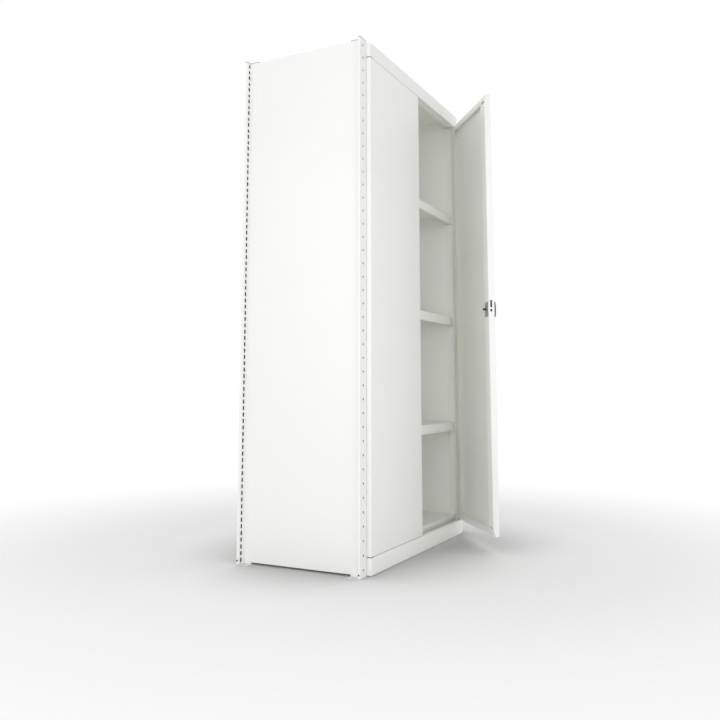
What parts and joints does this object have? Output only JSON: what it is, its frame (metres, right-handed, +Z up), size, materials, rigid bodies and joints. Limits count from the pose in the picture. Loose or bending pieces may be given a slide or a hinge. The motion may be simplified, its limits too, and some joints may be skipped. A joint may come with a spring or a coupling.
{
  "type": "steel cupboard",
  "caption": "Tall white steel cupboard on slotted T posts, with folded shelves inside and a pair of hinged doors, one with a low turning handle and a bolt lock.",
  "frame": {"origin": "centre of the four floor bolt holes, on the floor under the feet", "axes": "+Z up; +X to the right seen from the front; -Y towards the front, so the doors are on the -Y side"},
  "size_m": [1.072, 0.8386, 2.0055],
  "materials": {
    "white_paint": "satin",
    "zinc_steel": "satin",
    "cap_plastic": "matt",
    "bush_plastic": "matt",
    "dark_steel": "satin",
    "black_finish": "satin"
  },
  "bodies": {
    "cabinet": {"post_front_left": "white_paint", "post_front_right": "white_paint", "post_rear_left": "white_paint", "post_rear_right": "white_paint", "foot_front_left": "white_paint", "foot_front_right": "white_paint", "foot_rear_left": "white_paint", "foot_rear_right": "white_paint", "post_cap_front_left": "cap_plastic", "post_cap_front_right": "cap_plastic", "post_cap_rear_left": "cap_plastic", "post_cap_rear_right": "cap_plastic", "side_panel_left": "white_paint", "side_panel_right": "white_paint", "back_panel": "white_paint", "shelf_1": "white_paint", "shelf_2": "white_paint", "shelf_3": "white_paint", "shelf_4": "white_paint", "shelf_5": "white_paint", "shelf_1_clips": "zinc_steel", "shelf_2_clips": "zinc_steel", "shelf_3_clips": "zinc_steel", "shelf_4_clips": "zinc_steel", "shelf_5_clips": "zinc_steel", "header": "white_paint", "plinth": "white_paint", "header_bracket_left": "white_paint", "header_bracket_right": "white_paint", "plinth_bracket_left": "white_paint", "plinth_bracket_right": "white_paint", "header_hinge_pins": "zinc_steel", "plinth_hinge_pins": "zinc_steel"},
    "left_door": {"left_door_panel": "white_paint", "left_door_bushes": "bush_plastic", "strike_plate": "zinc_steel", "shoot_bolt_guides": "zinc_steel"},
    "right_door": {"right_door_panel": "white_paint", "right_door_bushes": "bush_plastic", "lock_case": "zinc_steel", "inner_lock_plate": "dark_steel"},
    "handle": {"door_handle": "black_finish", "lock_spindle": "zinc_steel", "inner_turn_bar": "black_finish"},
    "lock_bolt": {"lock_bolt": "dark_steel"},
    "shoot_bolt_top": {"shoot_bolt_top": "zinc_steel"},
    "shoot_bolt_bottom": {"shoot_bolt_bottom": "zinc_steel"}
  },
  "joints": [
    {"name": "left_door_swing", "type": "hinge", "parent": "cabinet", "child": "left_door", "pos_m": [-0.4675, -0.27385, 1.003], "axis": [0, 0, -1], "range_deg": [0, 110]},
    {"name": "right_door_swing", "type": "hinge", "parent": "cabinet", "child": "right_door", "pos_m": [0.4675, -0.27385, 1.003], "axis": [0, 0, 1], "range_deg": [-38.9, 71.1]},
    {"name": "handle_turn", "type": "hinge", "parent": "right_door", "child": "handle", "pos_m": [0.1243, -0.55078, 0.998], "axis": [0.628, -0.7782, 0], "range_deg": [0, 90]},
    {"name": "lock_bolt_slide", "type": "slide", "parent": "right_door", "child": "lock_bolt", "axis": [-0.7782, -0.628, 0], "range_m": [0, 0.01]},
    {"name": "shoot_bolt_top_slide", "type": "slide", "parent": "left_door", "child": "shoot_bolt_top", "axis": [0, 0, 1], "range_m": [0, 0.014]},
    {"name": "shoot_bolt_bottom_slide", "type": "slide", "parent": "left_door", "child": "shoot_bolt_bottom", "axis": [0, 0, -1], "range_m": [0, 0.014]}
  ],
  "couplings": [
    {"joint": "handle_turn", "follows": "lock_bolt_slide", "rad_per_m": 157.08}
  ]
}
